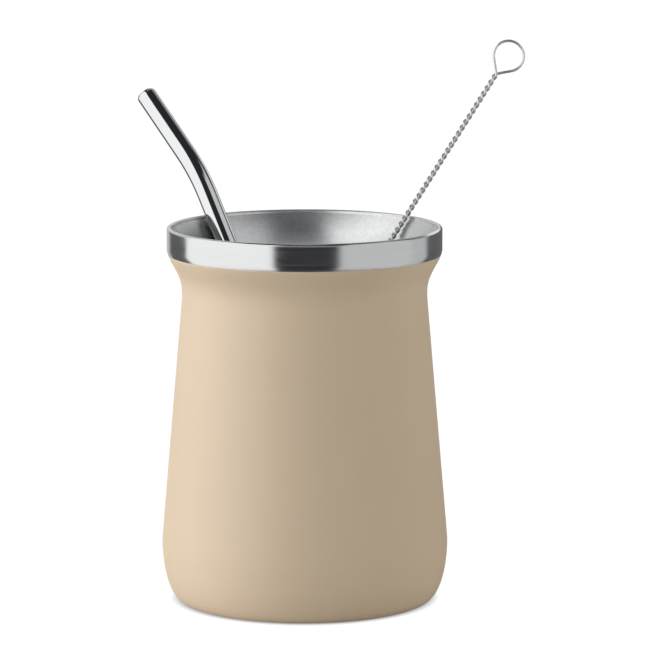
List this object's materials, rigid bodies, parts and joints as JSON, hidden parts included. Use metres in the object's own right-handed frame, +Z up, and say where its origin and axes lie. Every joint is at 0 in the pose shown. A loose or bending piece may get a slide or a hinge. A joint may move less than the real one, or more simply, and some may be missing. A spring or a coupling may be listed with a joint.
{
  "type": "insulated mate cup with straw and straw brush",
  "caption": "Round double-walled steel mate cup with a narrowed neck and a bare flared rim, holding a bent metal straw and a twisted-wire straw brush with a hanging ring.",
  "frame": {"origin": "centre of the cup's flat base, on the cup's axis, on the surface it stands on", "axes": "+Z up along the cup's axis; the straw leans over the lip towards -X +Y and the brush towards +X +Y"},
  "size_m": [0.1182, 0.0878, 0.1642],
  "materials": {
    "coat": "fine satin beige powder coat",
    "brushed_steel": "bare stainless steel, turned and finely brushed around the cup",
    "polished_steel": "mirror-polished stainless steel tube",
    "wire_steel": "drawn steel wire, softly shiny"
  },
  "bodies": {
    "root": {"outer_shell": "coat", "steel_liner": "brushed_steel", "straw": "polished_steel", "brush_wire": "wire_steel"}
  },
  "joints": []
}
